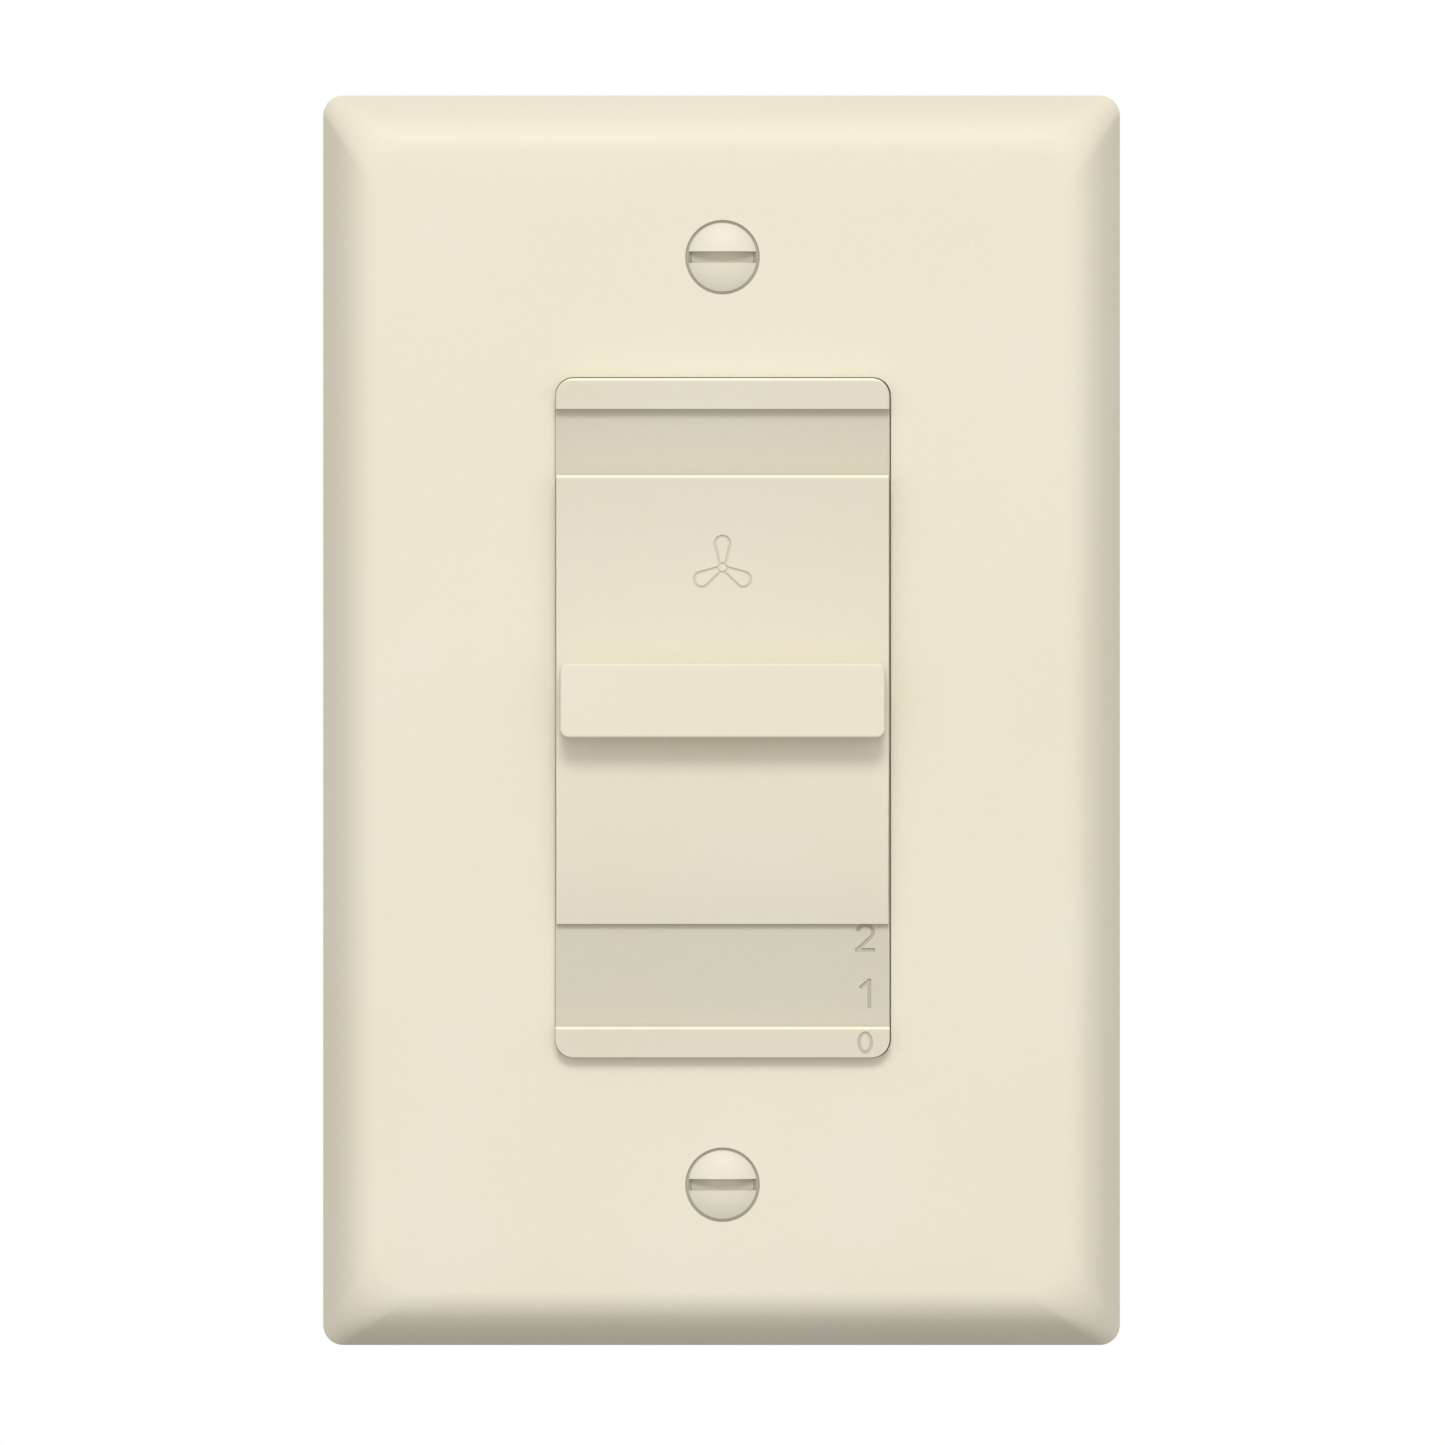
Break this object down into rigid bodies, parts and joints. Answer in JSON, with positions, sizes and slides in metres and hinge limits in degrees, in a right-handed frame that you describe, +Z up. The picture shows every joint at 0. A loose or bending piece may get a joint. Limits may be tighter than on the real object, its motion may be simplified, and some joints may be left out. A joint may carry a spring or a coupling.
{
  "type": "slide fan speed switch",
  "caption": "Wall-mounted slide control for ceiling fan speed: full-width grip, engraved fan mark and numerals, wall plate, steel strap, rear housing with side terminals.",
  "frame": {"origin": "midway between the two box screws, on the wall's surface", "axes": "+Z up, +Y into the wall, +X to the right seen from the room"},
  "size_m": [0.0834, 0.0372, 0.1308],
  "materials": {
    "almond_plastic": "satin moulded",
    "almond_enamel": "satin enamel",
    "natural_nylon": "moulded",
    "zinc_steel": "zinc plated",
    "galvanised_steel": "galvanised",
    "fibre": "pressed fibre",
    "green_enamel": "green dyed zinc",
    "phenolic": "phenolic paper",
    "contact_brass": "bright",
    "polished_steel": "polished",
    "circuit_laminate": "solder mask",
    "capacitor_case": "moulded box",
    "varistor_coating": "epoxy dipped",
    "fuse_can": "bright",
    "resistor_coating": "lacquered",
    "dark_thermoset": "moulded",
    "terminal_brass": "bright"
  },
  "bodies": {
    "device": {"wall_plate": "almond_plastic", "plate_screws": "almond_enamel", "front_frame": "almond_plastic", "mounting_strap": "galvanised_steel", "box_screws": "zinc_steel", "screw_retainers": "fibre", "ground_screw": "green_enamel", "switch_cover": "galvanised_steel", "switch_base": "phenolic", "switch_contacts": "contact_brass", "switch_screws": "zinc_steel", "circuit_board": "circuit_laminate", "capacitor_low_speed": "capacitor_case", "capacitor_medium_speed": "capacitor_case", "varistor": "varistor_coating", "thermal_fuse": "fuse_can", "discharge_resistors": "resistor_coating", "insulator_sheet": "fibre", "housing": "dark_thermoset", "housing_screws": "zinc_steel", "load_terminal": "terminal_brass", "line_terminal": "terminal_brass", "terminal_clamps": "zinc_steel", "terminal_screws": "terminal_brass"},
    "slider": {"slider": "almond_plastic", "slider_carriage": "natural_nylon", "carriage_screws": "zinc_steel"},
    "switch_block": {"switch_actuator": "natural_nylon", "contact_bridge": "contact_brass", "detent_balls": "polished_steel", "detent_spring": "polished_steel"}
  },
  "joints": [
    {"name": "slider_travel", "type": "slide", "parent": "device", "child": "slider", "axis": [0, 0, 1], "range_m": [-0.01068, 0.00688]},
    {"name": "switch_block_travel", "type": "slide", "parent": "device", "child": "switch_block", "axis": [0, 0, 1], "range_m": [-0.01068, 0.00688]}
  ],
  "couplings": [
    {"joint": "switch_block_travel", "follows": "slider_travel", "ratio": 1}
  ]
}
